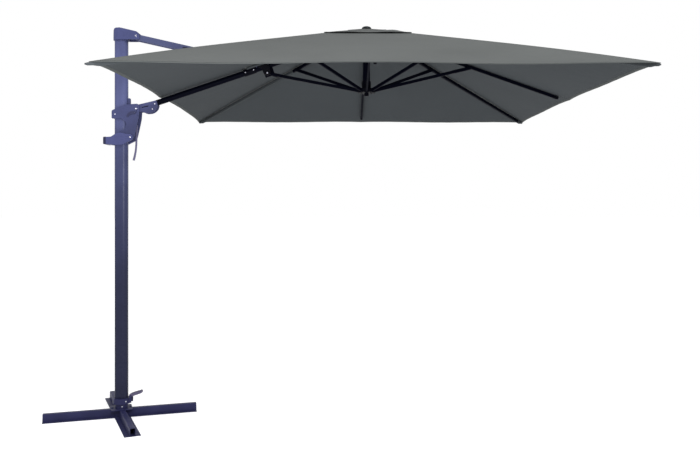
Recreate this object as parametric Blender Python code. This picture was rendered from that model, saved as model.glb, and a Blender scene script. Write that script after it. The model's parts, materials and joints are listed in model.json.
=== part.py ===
"""Cantilever parasol: a cross base, a turning mast, a sliding carriage with a swinging beam, and a square
canopy whose ribs fold with the beam. Metres, Z up, the mast axis at the origin, the canopy towards +X."""

from math import atan2, cos, hypot, pi, radians, sin

import bpy
from mathutils import Matrix, Vector
from mathutils.geometry import tessellate_polygon

# ---- driving dimensions ------------------------------------------------------------------------------------
GAP = 0.0004  # left between pieces that touch in the real product

LEG_HALF_LENGTH = 0.530
LEG_TUBE_HALF_WIDTH, LEG_HEIGHT = 0.019, 0.055
LEG_FOOT_HALF_WIDTH, LEG_FOOT_THICK, LEG_WALL = 0.054, 0.004, 0.003
THROUGH_TURN, CROSS_TURN = radians(16), radians(24)  # the base stands turned from the arm, not quite square
PLATE_HALF, PLATE_THICK = 0.074, 0.005
BOLT_RADIUS, BOLT_HEIGHT, BOLT_AT = 0.008, 0.006, 0.0640
SOCKET_RADIUS, SOCKET_TOP = 0.044, 0.092
SPIGOT_RADIUS, SPIGOT_TOP = 0.0295, 0.300
COLLAR_RADIUS, COLLAR_TOP = 0.0610, 0.1320

MAST_HALF_X, MAST_HALF_Y, MAST_WALL = 0.047, 0.035, 0.0025
MAST_POWER = 2.7  # how square the oval section is
FLUTE_DEPTH, FLUTE_X, FLUTE_WIDTH = 0.0022, -0.012, 0.011
MAST_TOP = 2.752

P = (0.116, 2.734)  # head hinge (x, z)
C = (0.116, 2.212)  # carriage hinge
B = (1.0555, 2.473)  # strut and tie to beam; at mid height, so the carriage runs true along the mast
PIN_RADIUS, BORE_RADIUS = 0.006, 0.0063

STRUT_SLOPE = radians(12.6)
STRUT_HALF_HEIGHT, STRUT_INNER, STRUT_OUTER = 0.0195, 0.028, 0.038
LUG_INNER, LUG_OUTER = 0.0350, 0.0425

BEAM_SLOPE = radians(18.75)
BEAM_RADIUS, BEAM_WALL = 0.021, 0.0022
BEAM_START, BEAM_END = 0.046, 1.6305  # along the beam from the carriage hinge
SLEEVE_SPAN = (0.811, 0.899)
SADDLE_SPAN = (0.950, 1.020)
COLLAR_ON_BEAM = 0.0255
TONGUE_HALF = 0.010

HUB_X = 1.770
PIVOT_RADIUS = 0.050  # rib and stretcher pivots stand this far from the hub's axis
CROWN_Z, RUNNER_Z = 2.684, 2.348  # heights of the two pivot rings
HUB_PIN = (HUB_X - 0.030, 2.620)
RIB_PLANE = 2.7857  # where the planes of the ribs' centre lines meet the hub's axis
PITCH, ARM_PITCH = 0.350, 0.335  # fall of the side planes, and of the section over the beam
RIB_HALF_WIDTH, RIB_HALF_HEIGHT, RIB_WALL = 0.009, 0.0115, 0.0015
RIB_START = 0.060
SIDE_RIB_REACH, CORNER_RIB_REACH = 1.385, 2.060
SIDE_JOINT, CORNER_JOINT = (0.7514, 2.516), (0.752, 2.592)  # (radius, z) where the stretchers meet the ribs
BAR_HALF_WIDTH, BAR_HALF_HEIGHT = 0.006, 0.011
FORK_SLOT, FORK_HALF_WIDTH = 0.115, 0.0150

CANOPY_HALF = 1.500
CLOTH_APEX, CLOTH_THICK = 2.8010, 0.002
CLOTH_START, SECTION_SPLIT = 0.140, 0.413
VENT_APEX, VENT_PITCH, VENT_HALF = 2.800, 0.31, 0.300

RIBS = {  # azimuth of each rib seen from above, 0 pointing away from the mast
    "right": 0, "far_right": 45, "far": 90, "far_left": 135,
    "near_left": 225, "near": 270, "near_right": 315,
}

MATERIALS = {  # base colour, metallic, roughness
    "frame_paint": ((0.090, 0.098, 0.235), 0.55, 0.42),
    "dark_paint": ((0.012, 0.014, 0.028), 0.45, 0.45),
    "base_paint": ((0.040, 0.042, 0.095), 0.45, 0.50),
    "steel": ((0.62, 0.62, 0.64), 1.0, 0.28),
    "moulding": ((0.095, 0.095, 0.200), 0.0, 0.48),
    "dark_moulding": ((0.014, 0.015, 0.028), 0.0, 0.50),
    "cloth": ((0.170, 0.185, 0.180), 0.0, 0.90),
    "webbing": ((0.070, 0.062, 0.110), 0.0, 0.85),
}


# ---- helpers -----------------------------------------------------------------------------------------------
def material(name, kind):
    colour, metallic, roughness = MATERIALS[kind]
    made = bpy.data.materials.new(f"{name}_{kind}")
    made.use_nodes = True
    shader = made.node_tree.nodes["Principled BSDF"]
    shader.inputs["Base Color"].default_value = (*colour, 1)
    shader.inputs["Metallic"].default_value = metallic
    shader.inputs["Roughness"].default_value = roughness
    made.diffuse_color = (*colour, 1)
    return made


def solid(name, vertices, faces, kind):
    mesh = bpy.data.meshes.new(name)
    mesh.from_pydata([tuple(v) for v in vertices], [], faces)
    mesh.validate()
    mesh.update()
    made = bpy.data.objects.new(name, mesh)
    bpy.context.scene.collection.objects.link(made)
    made.data.materials.append(material(name, kind))
    return made


def area(loop):
    return sum(a[0] * b[1] - b[0] * a[1] for a, b in zip(loop, loop[1:] + loop[:1])) / 2


def prism(name, kind, outline, holes=(), span=(0, 1), frame=Matrix.Identity(4)):
    """A flat outline with holes, in the frame's first two axes, drawn out along its third."""
    loops = [outline if area(outline) > 0 else outline[::-1]]
    loops += [h if area(h) < 0 else h[::-1] for h in holes]
    flat = [Vector((u, v, 0)) for loop in loops for u, v in loop]
    count = len(flat)
    caps = []
    for a, b, c in tessellate_polygon([[Vector((u, v, 0)) for u, v in loop] for loop in loops]):
        turn = (flat[b] - flat[a]).cross(flat[c] - flat[a]).z
        caps.append((a, b, c) if turn > 0 else (a, c, b))
    vertices = [frame @ Vector((p.x, p.y, w)) for w in span for p in flat]
    faces = [(c, b, a) for a, b, c in caps] + [tuple(i + count for i in t) for t in caps]
    first = 0
    for loop in loops:
        n = len(loop)
        for i in range(n):
            a, b = first + i, first + (i + 1) % n
            faces.append((a, b, b + count, a + count))
        first += n
    if frame.determinant() < 0:
        faces = [f[::-1] for f in faces]
    return solid(name, vertices, faces, kind)


def circle(radius, at=(0, 0), steps=24):
    return [(at[0] + radius * cos(2 * pi * i / steps), at[1] + radius * sin(2 * pi * i / steps))
            for i in range(steps)]


def arc(at, radius, start, end, steps=8):
    return [(at[0] + radius * cos(radians(start + (end - start) * i / steps)),
             at[1] + radius * sin(radians(start + (end - start) * i / steps))) for i in range(steps + 1)]


def rounded_box(half_u, half_v, radius, steps=4):
    corners = [(half_u, half_v, 0), (-half_u, half_v, 90), (-half_u, -half_v, 180), (half_u, -half_v, 270)]
    loop = []
    for u, v, start in corners:
        centre = (u - radius if u > 0 else u + radius, v - radius if v > 0 else v + radius)
        loop += arc(centre, radius, start, start + 90, steps)
    return loop


def basis(origin, first, second, third):
    """A frame from its origin and its three axes."""
    rows = [(first[i], second[i], third[i], origin[i]) for i in range(3)]
    return Matrix((*rows, (0, 0, 0, 1)))


# outlines in (x, z) drawn out along -Y; spans are therefore given as (-y high, -y low)
SIDE = basis((0, 0, 0), (1, 0, 0), (0, 0, 1), (0, -1, 0))


def plate(name, kind, outline, y_from, y_to, holes=()):
    return prism(name, kind, outline, holes, (-y_to, -y_from), SIDE)


def cross_pin(name, at, half_length, radius=PIN_RADIUS, kind="steel", steps=20):
    return plate(name, kind, circle(radius, at, steps), -half_length, half_length)


def combine(target, other, operation):
    """Cut the other solid out of the target or weld it on, and remove the other."""
    step = target.modifiers.new("step", "BOOLEAN")
    step.operation, step.solver, step.object = operation, "EXACT", other
    depsgraph = bpy.context.evaluated_depsgraph_get()
    result = bpy.data.meshes.new_from_object(target.evaluated_get(depsgraph))
    target.modifiers.clear()
    target.data = result
    result.name = target.name
    keep = result.materials[0]
    result.materials.clear()
    result.materials.append(keep)
    bpy.data.objects.remove(other)


def cut(target, cutter):
    combine(target, cutter, "DIFFERENCE")


def weld(target, *others):
    for other in others:
        combine(target, other, "UNION")


def block(name, low, high):
    outline = [(low[0], low[1]), (high[0], low[1]), (high[0], high[1]), (low[0], high[1])]
    return prism(name, "steel", outline, (), (low[2], high[2]))


def mast_outline(grow, steps=64):
    """The fluted oval of the mast, grown by so much on every side."""
    loop = []
    for i in range(steps):
        t = 2 * pi * (i + 0.5) / steps
        c, s = cos(t), sin(t)
        u = (MAST_HALF_X + grow) * abs(c) ** (2 / MAST_POWER) * (1 if c > 0 else -1)
        v = (MAST_HALF_Y + grow) * abs(s) ** (2 / MAST_POWER) * (1 if s > 0 else -1)
        if grow <= 0 and abs(u - FLUTE_X) < FLUTE_WIDTH:
            depth = FLUTE_DEPTH * cos((u - FLUTE_X) / FLUTE_WIDTH * pi / 2) ** 0.5
            v -= depth if v > 0 else -depth
        loop.append((u, v))
    return loop


def radial(azimuth):
    """A frame at the hub: outwards, up, and across."""
    a = radians(azimuth)
    return basis((HUB_X, 0, 0), (cos(a), sin(a), 0), (0, 0, 1), (sin(a), -cos(a), 0))


def sloped(azimuth, at, slope):
    """A radial frame moved to (radius, z) and tipped: first axis along the piece, falling by the slope."""
    tip = Matrix.Rotation(-slope, 4, "Z")
    return radial(azimuth) @ Matrix.Translation((at[0], at[1], 0)) @ tip


# ---- start from nothing ------------------------------------------------------------------------------------
for old in list(bpy.data.objects):
    bpy.data.objects.remove(old)

# ---- base --------------------------------------------------------------------------------------------------
hat = [(-LEG_FOOT_HALF_WIDTH, 0), (LEG_FOOT_HALF_WIDTH, 0), (LEG_FOOT_HALF_WIDTH, LEG_FOOT_THICK),
       (LEG_TUBE_HALF_WIDTH, LEG_FOOT_THICK), (LEG_TUBE_HALF_WIDTH, LEG_HEIGHT - 0.003),
       (LEG_TUBE_HALF_WIDTH - 0.003, LEG_HEIGHT), (-LEG_TUBE_HALF_WIDTH + 0.003, LEG_HEIGHT),
       (-LEG_TUBE_HALF_WIDTH, LEG_HEIGHT - 0.003), (-LEG_TUBE_HALF_WIDTH, LEG_FOOT_THICK),
       (-LEG_FOOT_HALF_WIDTH, LEG_FOOT_THICK)]
bore_u = LEG_TUBE_HALF_WIDTH - LEG_WALL
tube_bore = [(-bore_u, LEG_WALL), (bore_u, LEG_WALL), (bore_u, LEG_HEIGHT - LEG_WALL),
             (-bore_u, LEG_HEIGHT - LEG_WALL)]


def leg_frame(a):
    """Across the leg, up, and along it."""
    return basis((0, 0, 0), (-sin(a), cos(a), 0), (0, 0, 1), (cos(a), sin(a), 0))


slant = CROSS_TURN - THROUGH_TURN
inner_end = (LEG_FOOT_HALF_WIDTH * (1 + sin(slant)) + GAP) / cos(slant)  # cut square, clear of the through leg
cross_frame = leg_frame(CROSS_TURN + pi / 2)
prism("leg_through", "base_paint", hat, [tube_bore], (-LEG_HALF_LENGTH, LEG_HALF_LENGTH),
      leg_frame(THROUGH_TURN))
prism("leg_rear", "base_paint", hat, [tube_bore], (inner_end, LEG_HALF_LENGTH), cross_frame)
prism("leg_front", "base_paint", hat, [tube_bore], (-LEG_HALF_LENGTH, -inner_end), cross_frame)

plate_low = LEG_HEIGHT + GAP
plate_top = plate_low + PLATE_THICK
turned = Matrix.Rotation((THROUGH_TURN + CROSS_TURN) / 2, 4, "Z")
centre = prism("base_plate", "base_paint", rounded_box(PLATE_HALF, PLATE_HALF, 0.012), (),
               (plate_low, plate_top), turned)
for i in range(4):
    spot = turned @ Matrix.Rotation(i * pi / 2, 4, "Z") @ Matrix.Translation((BOLT_AT, 0, 0))
    weld(centre, prism("bolt", "base_paint", circle(BOLT_RADIUS, steps=6), (),
                       (plate_low + 0.002, plate_top + BOLT_HEIGHT), spot))
socket = prism("foot_socket", "base_paint", circle(SOCKET_RADIUS, steps=40), (), (plate_top + GAP, SOCKET_TOP))
weld(socket, prism("spigot", "base_paint", circle(SPIGOT_RADIUS, steps=32),
                   [circle(SPIGOT_RADIUS - 0.003, steps=32)], (SOCKET_TOP - 0.010, SPIGOT_TOP)))

# ---- mast, collar and pedal --------------------------------------------------------------------------------
collar = prism("turn_collar", "base_paint", circle(COLLAR_RADIUS, steps=44), [mast_outline(0.0006, 48)],
               (SOCKET_TOP + GAP, COLLAR_TOP))
prism("mast", "frame_paint", mast_outline(0), [mast_outline(-MAST_WALL)], (SOCKET_TOP + 2 * GAP, MAST_TOP))

PEDAL_PIVOT = (0.069, 0.143)
lug = [(0.052, 0.098), (0.076, 0.098), (0.078, 0.138), *arc(PEDAL_PIVOT, 0.009, 0, 150, 6), (0.060, 0.120),
       (0.052, 0.118)]
for y in (-0.0255, 0.0205):
    weld(collar, plate("lug", "base_paint", lug, y, y + 0.005, [circle(0.0033, PEDAL_PIVOT, 16)]))
cross_pin("pedal_pin", PEDAL_PIVOT, 0.0275, 0.003, steps=16)
pedal = [(0.0590, 0.1440), (0.0600, 0.1560), (0.0660, 0.1610), (0.1450, 0.1845), (0.1500, 0.1800),
         (0.1490, 0.1670), (0.0860, 0.1450), (0.0740, 0.1350), (0.0640, 0.1350)]
plate("foot_pedal", "moulding", pedal, -0.0200, 0.0200, [circle(0.0033, PEDAL_PIVOT, 16)])

# ---- head housing ------------------------------------------------------------------------------------------
HEAD_HALF = 0.049
head = [(-0.055, 2.708), (0.140, 2.709), (0.1405, 2.737), (0.134, 2.750), (0.126, 2.762), (0.118, 2.7665),
        (0.012, 2.7915), (0.000, 2.7935), (-0.030, 2.7925), (-0.042, 2.788), (-0.049, 2.778), (-0.052, 2.760)]
housing = plate("head_housing", "moulding", head, -HEAD_HALF, HEAD_HALF)
nose = [(-0.0560 * cos(a) ** 0.72, (HEAD_HALF + 0.0002) * sin(a)) for a in
        (radians(-90 + 180 * i / 28) for i in range(1, 28))]  # its back is round in plan
cut(housing, prism("cutter", "steel", [(-0.002, -0.06), (-0.002, -HEAD_HALF)] + nose +
                   [(-0.002, HEAD_HALF), (-0.002, 0.06), (-0.08, 0.06), (-0.08, -0.06)], (), (2.60, 2.90)))
cut(housing, prism("cutter", "steel", mast_outline(0.0006, 48), (), (2.60, MAST_TOP + 0.001)))
cut(housing, block("cutter", (0.0540, -0.0425, 2.60), (0.30, 0.0425, 2.7575)))
cut(housing, cross_pin("cutter", P, 0.10, BORE_RADIUS))
cross_pin("head_pin", P, HEAD_HALF + 0.004)

# ---- upper strut: two bars with end lugs, either side of the beam ------------------------------------------
along = (cos(STRUT_SLOPE), -sin(STRUT_SLOPE))
across = (sin(STRUT_SLOPE), cos(STRUT_SLOPE))


def on_strut(s, n):
    """A point s along the strut and n above its middle line, which passes just under the head pin."""
    return (P[0] + s * along[0] + n * across[0], P[1] - 0.0065 + s * along[1] + n * across[1])


h = STRUT_HALF_HEIGHT
bar = [on_strut(s, n) for s, n in (
    (-0.017, -0.006), (-0.011, -0.014), (0.0, -h), (0.955, -h), (0.966, -0.013), (0.970, 0.0),
    (0.966, 0.013), (0.955, h), (0.004, h + 0.001), (-0.010, 0.018), (-0.017, 0.010))]
end_lug = [(1.0130, 2.5220), (1.0240, 2.4800), (1.0330, 2.4610), (1.0480, 2.4545), (1.0660, 2.4560),
           (1.0770, 2.4640), (1.0790, 2.4760), (1.0700, 2.5180), (1.0640, 2.5235)]
for side, near in (("near", -1), ("far", 1)):
    spans = [sorted((near * a, near * b)) for a, b in ((STRUT_INNER, STRUT_OUTER), (LUG_INNER, LUG_OUTER))]
    strut = plate(f"strut_bar_{side}", "frame_paint", bar, *spans[0], [circle(BORE_RADIUS, P, 20)])
    weld(strut, plate("lug", "frame_paint", end_lug, *spans[1], [circle(BORE_RADIUS, B, 20)]))
cross_pin("strut_pin", B, LUG_OUTER + 0.003)

# ---- carriage ----------------------------------------------------------------------------------------------
sleeve = prism("carriage_sleeve", "moulding", mast_outline(0.0048, 48), [mast_outline(0.0008, 48)],
               (2.1430, 2.2060))
weld(sleeve, plate("tab", "moulding", [(0.0490, 2.1900), (0.0610, 2.1900), (0.0650, 2.2384), (0.0650, 2.2870),
                                       (0.0620, 2.2910), (0.0490, 2.2910)], -0.012, 0.012))
GRIP_PIVOT = (0.0762, 2.0072)
LEVER_PIVOT = (0.1070, 2.1850)
side_plate = [(-0.058, 2.196), (-0.052, 2.203), (-0.016, 2.219), (0.034, 2.237), (0.064, 2.244),
              (0.122, 2.248), (0.134, 2.243), (0.139, 2.230), (0.139, 2.210), (0.134, 2.143), (0.122, 2.085),
              (0.107, 2.019), (0.102, 2.002), (0.092, 1.989), (0.071, 1.979), (0.055, 1.989), (0.044, 2.012),
              (0.006, 2.022), (-0.018, 2.034), (0.010, 2.052), (0.030, 2.064), (0.041, 2.080),
              (0.045, 2.099), (0.041, 2.118), (0.028, 2.133), (0.009, 2.141), (-0.052, 2.141),
              (-0.058, 2.146)]
PLATE_IN, PLATE_OUT = 0.0402, 0.0460
bores = [circle(BORE_RADIUS, C, 20), circle(0.0043, GRIP_PIVOT, 16)]
lever_bore = circle(0.0028, LEVER_PIVOT, 12)
plate("side_plate_near", "moulding", side_plate, -PLATE_OUT, -PLATE_IN, bores + [lever_bore])
plate("side_plate_far", "moulding", side_plate, PLATE_IN, PLATE_OUT, bores)
cross_pin("carriage_pin", C, PLATE_OUT + 0.0045)
cross_pin("grip_pin", GRIP_PIVOT, 0.0600, 0.0040, steps=16)

GRIP_IN, GRIP_OUT = 0.0466, 0.0570
grip = [(-0.1140, 1.9620), (-0.1110, 1.9590), (-0.0420, 1.9530), (0.0080, 1.9520), (0.0300, 1.9580),
        (0.0550, 1.9710), (0.0900, 1.9880), (0.0960, 2.0050), (0.0930, 2.0200), (0.0800, 2.0290),
        (0.0570, 2.0310), (0.0040, 2.0410), (-0.0270, 2.0330), (-0.0600, 2.0110), (-0.1110, 2.0080),
        (-0.1140, 2.0050)]
handle = plate("grip", "moulding", grip, -GRIP_OUT, GRIP_OUT, [circle(0.0043, GRIP_PIVOT, 16)])
cut(handle, block("cutter", (-0.068, -GRIP_IN, 1.90), (0.20, GRIP_IN, 2.10)))

lever = [(0.049, 2.158), (0.057, 2.151), (0.068, 2.160), (0.086, 2.173), (0.112, 2.1755), (0.1175, 2.182),
         (0.115, 2.191), (0.106, 2.1945), (0.075, 2.190), (0.060, 2.180)]
plate("lock_lever", "dark_moulding", lever, -0.0508, -0.0466, [lever_bore])
plate("lever_pin", "steel", circle(0.0025, LEVER_PIVOT, 12), -0.0520, -0.0405)

STRAP = [(0.1155, 2.0950), (0.1150, 2.0520), (0.1130, 1.9870), (0.1080, 1.9140), (0.0925, 1.8420)]
STRAP_HALF = 0.008
ends = [(STRAP[max(i - 1, 0)], STRAP[min(i + 1, len(STRAP) - 1)]) for i in range(len(STRAP))]
sides = []
for (x, z), (a, b) in zip(STRAP, ends):
    length = hypot(b[0] - a[0], b[1] - a[1])
    across_u, across_v = -(b[1] - a[1]) / length, (b[0] - a[0]) / length
    sides.append(((x + across_u * STRAP_HALF, z + across_v * STRAP_HALF),
                  (x - across_u * STRAP_HALF, z - across_v * STRAP_HALF)))
plate("tie_strap", "webbing", [a for a, _ in sides] + [b for _, b in sides[::-1]], -0.0210, -0.0190)

# ---- beam and its fittings ---------------------------------------------------------------------------------
beam_u = (cos(BEAM_SLOPE), 0, sin(BEAM_SLOPE))
beam_n = (-sin(BEAM_SLOPE), 0, cos(BEAM_SLOPE))
BEAM = basis((C[0], 0, C[1]), (0, 1, 0), beam_n, tuple(-c for c in beam_u))  # across, up, back along the beam


def on_beam(s, n):
    return (C[0] + s * beam_u[0] + n * beam_n[0], C[1] + s * beam_u[2] + n * beam_n[2])


def along_beam(point):
    x, z = point[0] - C[0], point[1] - C[1]
    return x * beam_u[0] + z * beam_u[2], x * beam_n[0] + z * beam_n[2]


def beam_piece(name, kind, outline, holes, start, end):
    return prism(name, kind, outline, holes, (-end, -start), BEAM)


knuckle = [on_beam(0.0600, -0.0150), on_beam(0.0600, 0.0150), on_beam(0.0440, 0.0190)] + [
    on_beam(0.019 * cos(radians(a)), 0.019 * sin(radians(a))) for a in range(90, 271, 20)]
knuckle.append(on_beam(0.0440, -0.0190))
cheek = [(0.0900, 2.2120), (0.0930, 2.2260), (0.1030, 2.2370), (0.1200, 2.2420), (0.2530, 2.2740),
         (0.2600, 2.2680), (0.2675, 2.2360), (0.2600, 2.2130), (0.2450, 2.1970), (0.2310, 2.1880),
         (0.2160, 2.1825), (0.1900, 2.1805), (0.1720, 2.1845), (0.1600, 2.1925), (0.1350, 2.1910),
         (0.1160, 2.1860), (0.0980, 2.1930)]
slot = arc((0.198, 2.2330), 0.003, -75, 105, 5) + arc((0.155, 2.2230), 0.003, 105, 285, 5)
for side, span in (("near", (-0.0295, -0.0220)), ("far", (0.0220, 0.0295))):
    plate(f"arm_cheek_{side}", "moulding", cheek, *span, [circle(BORE_RADIUS, C, 20), slot])
tube = beam_piece("beam", "dark_paint", circle(BEAM_RADIUS, steps=32),
                  [circle(BEAM_RADIUS - BEAM_WALL, steps=32)], BEAM_START, BEAM_END)
weld(tube, plate("knuckle", "dark_paint", knuckle, -0.0195, 0.0195, [circle(BORE_RADIUS, C, 20)]))
ring_bore = circle(BEAM_RADIUS + GAP, steps=32)
beam_piece("beam_sleeve", "dark_moulding", circle(COLLAR_ON_BEAM, steps=32), [ring_bore], *SLEEVE_SPAN)
foot = 0.0800
keyhole = [(-TONGUE_HALF, -foot + 0.004), (-TONGUE_HALF + 0.003, -foot), (TONGUE_HALF - 0.003, -foot),
           (TONGUE_HALF, -foot + 0.004)] + arc((0, 0), COLLAR_ON_BEAM, -66.5, 246.5, 26)
saddle = beam_piece("beam_saddle", "dark_paint", keyhole, [ring_bore], *SADDLE_SPAN)
cut(saddle, cross_pin("cutter", B, 0.05, BORE_RADIUS))

hub_s, hub_n = along_beam(HUB_PIN)
root = 0.0140  # half height of the tongue where it is plugged into the beam
tongue = [(BEAM_END - 0.090, root), (BEAM_END + 0.020, root), (hub_s + 0.010, hub_n + 0.060)]
tongue += arc((hub_s, hub_n), 0.0165, 20, -170, 10)
tongue += [(BEAM_END + 0.002, -root - 0.030), (BEAM_END + 0.001, -root), (BEAM_END - 0.090, -root)]
plate("end_tongue", "dark_paint", [on_beam(s, n) for s, n in tongue], -TONGUE_HALF, TONGUE_HALF,
      [circle(BORE_RADIUS, HUB_PIN, 20)])


# ---- crown hub and runner: discs with a slot for every rib or stretcher ------------------------------------
def star(radius, slots, steps=3):
    """A disc outline about the hub's axis with radial slots: {azimuth: (half width, inner radius)}."""
    loop = []
    angles = sorted(slots)
    for i, azimuth in enumerate(angles):
        half, inner = slots[azimuth]
        a = radians(azimuth)
        out, side = (cos(a), sin(a)), (-sin(a), cos(a))
        mouth = (radius**2 - half**2) ** 0.5
        for r, w in ((mouth, -half), (inner, -half), (inner, half), (mouth, half)):
            loop.append((HUB_X + r * out[0] + w * side[0], r * out[1] + w * side[1]))
        begin = a + atan2(half, mouth)
        following = angles[(i + 1) % len(angles)]
        end = radians(following + (360 if following <= azimuth else 0))
        next_half = slots[following][0]
        end -= atan2(next_half, (radius**2 - next_half**2) ** 0.5)
        for k in range(1, steps + 1):
            t = begin + (end - begin) * k / (steps + 1)
            loop.append((HUB_X + radius * cos(t), radius * sin(t)))
    return loop


crown_slots = {a: (0.0088, 0.0350) for a in RIBS.values()} | {180: (TONGUE_HALF + 0.0012, 0.0280)}
crown = prism("crown_hub", "dark_moulding", star(0.0640, crown_slots), (), (CROWN_Z - 0.015, CROWN_Z + 0.015))
hub_cheek = [(HUB_X - 0.030, CROWN_Z - 0.010), (HUB_X - 0.0515, 2.6600), (HUB_X - 0.0500, 2.620),
             *arc(HUB_PIN, 0.0190, 190, 340, 8), (HUB_X + 0.020, 2.640), (HUB_X + 0.026, CROWN_Z - 0.010)]
for span in ((-0.0222, -0.0112), (0.0112, 0.0222)):
    weld(crown, plate("cheek", "dark_moulding", hub_cheek, *span, [circle(BORE_RADIUS, HUB_PIN, 20)]))
cross_pin("hub_pin", HUB_PIN, 0.0250)
at_hub = Matrix.Translation((HUB_X, 0, 0))
weld(crown, prism("stem", "dark_moulding", circle(0.015, steps=20), (), (CROWN_Z + 0.005, 2.7925), at_hub))


def turned_solid(name, kind, profile, at, steps=28):
    """A profile of (radius, z) pairs, from the axis round to the axis again, turned about Z."""
    vertices, faces = [], []
    inner = profile[1:-1]
    for i in range(steps):
        t = 2 * pi * i / steps
        vertices += [(at[0] + r * cos(t), at[1] + r * sin(t), z) for r, z in inner]
    low, high = len(vertices), len(vertices) + 1
    vertices += [(*at, profile[0][1]), (*at, profile[-1][1])]
    n = len(inner)
    for i in range(steps):
        a, b = i * n, (i + 1) % steps * n
        faces.append((low, b, a))
        faces.append((high, a + n - 1, b + n - 1))
        faces += [(a + k, b + k, b + k + 1, a + k + 1) for k in range(n - 1)]
    return solid(name, vertices, faces, kind)


turned_solid("finial_cap", "moulding", [(0, 2.7970), (0.0345, 2.7970), (0.0345, 2.8010), (0.0325, 2.8060),
                                        (0.0270, 2.8110), (0.0180, 2.8140), (0, 2.8150)], (HUB_X, 0))

runner_slots = {a: (0.0068, 0.0340) for a in RIBS.values()} | {180: (0.0070, 0.0335)}
runner = prism("runner", "dark_moulding", star(0.0620, runner_slots), (), (RUNNER_Z - 0.015, RUNNER_Z + 0.015))
weld(runner, prism("sleeve", "dark_moulding", circle(0.0320, steps=28), [circle(0.0254, steps=28)],
                   (RUNNER_Z + 0.005, 2.4160), at_hub))
prism("centre_pole", "dark_paint", circle(0.0250, steps=28), [circle(0.0225, steps=28)],
      (RUNNER_Z + 0.0154, 2.5750), at_hub)
weld(runner, turned_solid("nub", "dark_moulding", [(0, 2.3095), (0.013, 2.3095), (0.016, 2.3130), (0.016, 2.3320),
                                                (0.030, 2.3360), (0.031, 2.3550), (0, 2.3550)], (HUB_X, 0)))

# ---- ribs, their heels and the stretchers ------------------------------------------------------------------
for name, azimuth in RIBS.items():
    corner = azimuth % 90 == 45
    fall = PITCH / 2**0.5 if corner else PITCH
    slope = atan2(fall, 1)
    frame = sloped(azimuth, (PIVOT_RADIUS, CROWN_Z), slope)
    rise = (RIB_PLANE - fall * PIVOT_RADIUS - CROWN_Z) * cos(slope)  # of the rib's middle line over its pivot
    reach = CORNER_RIB_REACH if corner else SIDE_RIB_REACH
    end = (reach - PIVOT_RADIUS - rise * sin(slope)) / cos(slope)
    across_rib = frame @ basis((0, rise, 0), (0, 0, 1), (0, 1, 0), (-1, 0, 0))
    hollow = (RIB_HALF_WIDTH - RIB_WALL, RIB_HALF_HEIGHT - RIB_WALL)
    plug = RIB_HALF_HEIGHT - 0.0008
    rib = prism(f"rib_{name}", "dark_paint", rounded_box(RIB_HALF_WIDTH, RIB_HALF_HEIGHT, 0.002, 2),
                [rounded_box(*hollow, 0.001, 1)], (-end, -RIB_START), across_rib)
    heel = arc((0, 0), 0.0115, 180, 340, 8) + [
        (0.018, 0.022), (0.044, rise - plug), (0.110, rise - plug), (0.110, rise + plug),
        (0.040, rise + plug), (0.022, rise + 0.006), (-0.0115, 0.030)]
    weld(rib, prism("heel", "dark_paint", heel, [circle(0.0028, steps=12)], (-0.0082, 0.0082), frame))


def fork(name, azimuth, inner, outer, slot_half, slot_length, half_width, past):
    """A flat bar from the runner's ring out to a fork over a rib or a tongue, ending so far past the joint."""
    length = hypot(outer[0] - inner[0], outer[1] - inner[1])
    rise = atan2(outer[1] - inner[1], outer[0] - inner[0])
    frame = sloped(azimuth, inner, -rise) @ basis((0, 0, 0), (1, 0, 0), (0, 0, 1), (0, -1, 0))
    w, tip, root = BAR_HALF_WIDTH, length + past, length - slot_length
    upper = [(-0.0105, w), (root - 0.030, w), (root - 0.012, half_width), (tip - 0.004, half_width),
             (tip, half_width - 0.002), (tip, slot_half), (root, slot_half)]
    outline = upper + [(u, -v) for u, v in upper[::-1]]
    prism(name, "dark_paint", outline, (), (-BAR_HALF_HEIGHT, BAR_HALF_HEIGHT), frame)


for name, azimuth in RIBS.items():
    joint = CORNER_JOINT if azimuth % 90 == 45 else SIDE_JOINT
    fork(f"stretcher_{name}", azimuth, (PIVOT_RADIUS, RUNNER_Z), joint, RIB_HALF_WIDTH + GAP, FORK_SLOT,
         FORK_HALF_WIDTH, 0.018)
# the tie's fork stops short of the strut's pin, which it turns about
fork("beam_tie", 180, (PIVOT_RADIUS, RUNNER_Z), (HUB_X - B[0], B[1]), TONGUE_HALF + GAP, 0.078, 0.0175, -0.016)


# ---- cloth -------------------------------------------------------------------------------------------------
def sheet(name, outline, holes, fall, azimuth):
    """A side section: an outline seen from above, about the hub, laid on a falling plane."""
    a = radians(azimuth)
    made = prism(name, "cloth", outline, holes, (0, CLOTH_THICK))
    for vertex in made.data.vertices:
        x, y, lift = vertex.co
        vertex.co = (HUB_X + x * cos(a) - y * sin(a), x * sin(a) + y * cos(a), lift + CLOTH_APEX - fall * x)
    return made


seam = 0.0004
for name, azimuth in {"right": 0, "far": 90, "left": 180, "near": 270}.items():
    inner, outer = CLOTH_START * SECTION_SPLIT - seam, CANOPY_HALF * SECTION_SPLIT - seam
    outline = [(CLOTH_START, -inner), (CANOPY_HALF, -outer), (CANOPY_HALF, outer), (CLOTH_START, inner)]
    opening = [[(0.665, -0.052), (0.885, -0.052), (0.885, 0.052), (0.665, 0.052)]] if name == "left" else []
    sheet(f"cloth_{name}", outline, opening, ARM_PITCH if name == "left" else PITCH, azimuth)


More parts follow.
